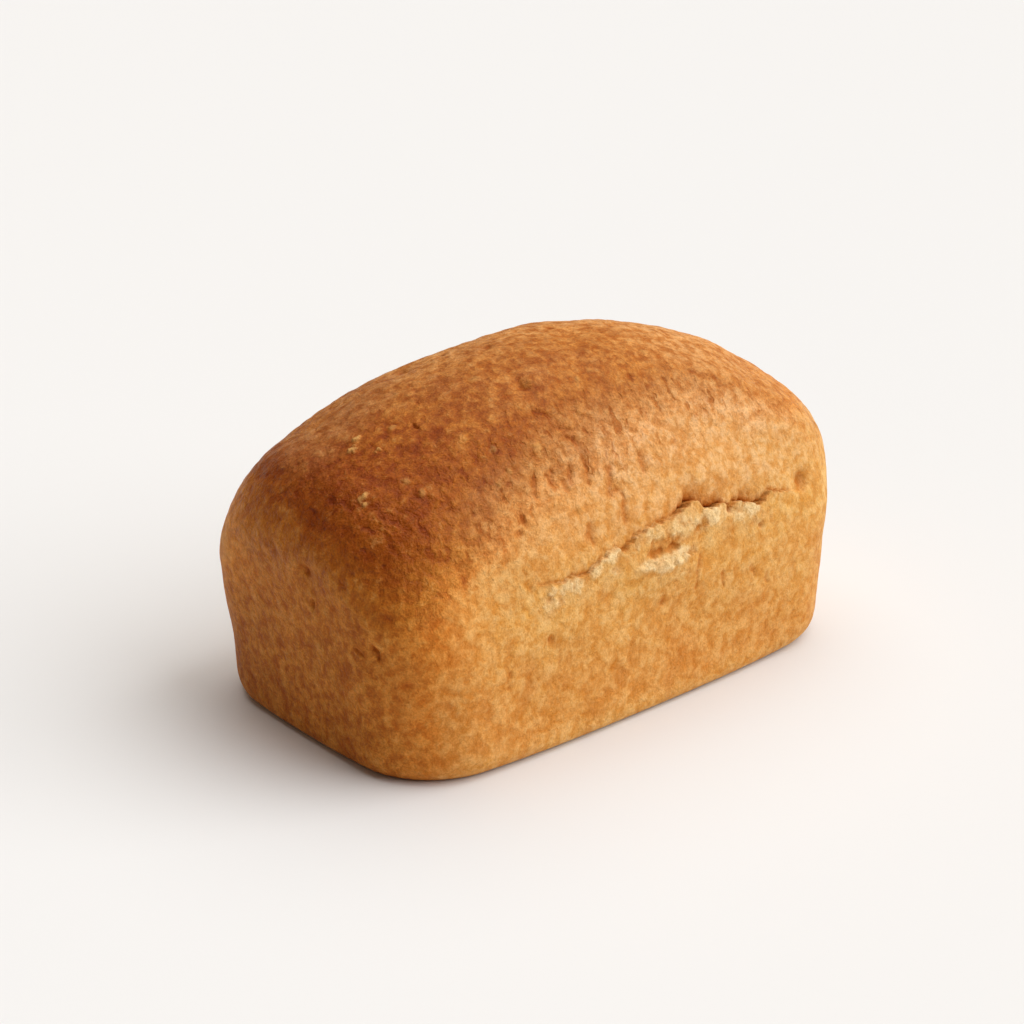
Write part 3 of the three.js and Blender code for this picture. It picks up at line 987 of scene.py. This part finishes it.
# Painted highlights: the fine lumps of the crumb are painted paler where they rise
barest_and_highlit = spread(added(crumb_patch, scaled(fine, 1.6)), 1.35, 2.40)
tone = mixed(spread(crumb_patch, 0.0, 0.9), tone, mixed(barest_and_highlit, CRUMB, CRUMB_PALE))
tone = tinted_by(hollow_shade, tone, HOLLOW_SHADE_TINT)
grain_depth = spread(brown_share, 0, 1, 0.13, 0.19)
grain = added(spread(speckle, 0.25, 0.75, -1, 1), spread(fine, 0.2, 0.8, -1, 1))
tone = tinted_by(1.0, tone, added(scaled(grain, grain_depth), 1.0))
feed(crust_shader.inputs["Base Color"], tone)

# A thin glaze on the raised dough of the shoulder, and a skin that is smoother there
GLAZE_WEIGHT = 0.42
crust_shader.inputs["Specular IOR Level"].default_value = 0.10
crust_shader.inputs["Coat Roughness"].default_value = 0.34
raised = spread(added(dough, scaled(facet, 0.12)), 0.52, 0.66)
feed(crust_shader.inputs["Coat Weight"], scaled(scaled(glaze, raised), GLAZE_WEIGHT))
rough = added(spread(fine, 0.3, 0.7, 0.50, 0.64), shoulder_or_not(0, -0.14), spread(crumbed, 0, 1, 0, 0.25))
feed(crust_shader.inputs["Roughness"], rough)

# The fine relief, in millimetres
fine_where = added(crumbed, scaled(shouldered, 0.8))
height = added(
    scaled(dough, shoulder_or_not(0.50, 0.66)),
    scaled(facet, shoulder_or_not(0.08, 0.24)),
    scaled(dash, shoulder_or_not(-0.04, -0.15)),
    scaled(fine, spread(fine_where, 0, 1, 0.20, 0.56)),
    scaled(speckle, 0.08),
)
bump = add_node("ShaderNodeBump", {"Strength": 1.0, "Distance": 0.001, "Height": height})
feed(crust_shader.inputs["Normal"], bump.outputs["Normal"])
loaf.data.materials.append(crust)

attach(loaf, "root")
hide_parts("loaf")

# --- The floor, the light and the camera --------------------------------------------------------
# A plain pale floor under two large soft lights, one from the right and one high behind, with a
# dim warm fill all round. The camera looks down on the near corner.

FLOOR_SIDE = 8.0
bpy.ops.mesh.primitive_plane_add(size=FLOOR_SIDE, location=(0, 0, 0))
floor = bpy.context.object
floor.name = "floor"
paper, paper_shader = new_material("pale_floor")
paper_shader.inputs["Base Color"].default_value = (0.75, 0.745, 0.74, 1)
paper_shader.inputs["Roughness"].default_value = 0.9
paper_shader.inputs["Specular IOR Level"].default_value = 0.1
floor.data.materials.append(paper)

VIEW_AZIMUTH = math.radians(-40.935)
VIEW_ELEVATION = math.radians(22.986)
VIEW_DISTANCE = 0.645028
VIEW_SHIFT_RIGHT = -0.005392
VIEW_SHIFT_UP = -0.003099
FOCUS_PIXELS = 2500
IMAGE_PIXELS = 1024
SENSOR_WIDTH = 36
CLIP_NEAR = 0.01
CLIP_FAR = 30


def toward(heading, rise):
    """The level direction at an angle from +X, raised by another."""
    return Vector((math.cos(heading) * math.cos(rise), math.sin(heading) * math.cos(rise), math.sin(rise)))


def facing(direction):
    """The rotation of a camera or a light that stands in this direction and looks back."""
    return direction.to_track_quat("Z", "Y").to_euler()


back = toward(VIEW_AZIMUTH - math.pi / 2, VIEW_ELEVATION)
right = toward(VIEW_AZIMUTH, 0)
above = back.cross(right)
target = Vector(MIDDLE) + Vector((0, 0, HEIGHT / 2)) + VIEW_SHIFT_RIGHT * right + VIEW_SHIFT_UP * above
bpy.ops.object.camera_add(location=target + VIEW_DISTANCE * back, rotation=facing(back))
camera = bpy.context.object
camera.data.sensor_width = SENSOR_WIDTH
camera.data.lens = FOCUS_PIXELS / IMAGE_PIXELS * SENSOR_WIDTH
camera.data.clip_start = CLIP_NEAR
camera.data.clip_end = CLIP_FAR
bpy.context.scene.camera = camera
bpy.context.scene.view_settings.view_transform = "Standard"


def soft_light(name, turn, elevation, width, energy, colour):
    """A distant soft light. Turn is counted from the camera's right, away from the camera."""
    direction = toward(VIEW_AZIMUTH + math.radians(turn), math.radians(elevation))
    bpy.ops.object.light_add(type="SUN", rotation=facing(direction))
    light = bpy.context.object
    light.name = name
    light.data.energy = energy
    light.data.angle = math.radians(width)
    light.data.color = colour


soft_light("key_light", turn=-10, elevation=42, width=62, energy=2.60, colour=(0.98, 1.0, 1.02))
soft_light("top_light", turn=80, elevation=71, width=70, energy=1.75, colour=(1.0, 1.0, 0.985))

FILL_COLOUR = (1.0, 0.80, 0.62, 1)
FILL_STRENGTH = 0.19
world = bpy.data.worlds.new("studio_fill")
bpy.context.scene.world = world
world.use_nodes = True
world.node_tree.nodes["Background"].inputs["Color"].default_value = FILL_COLOUR
world.node_tree.nodes["Background"].inputs["Strength"].default_value = FILL_STRENGTH
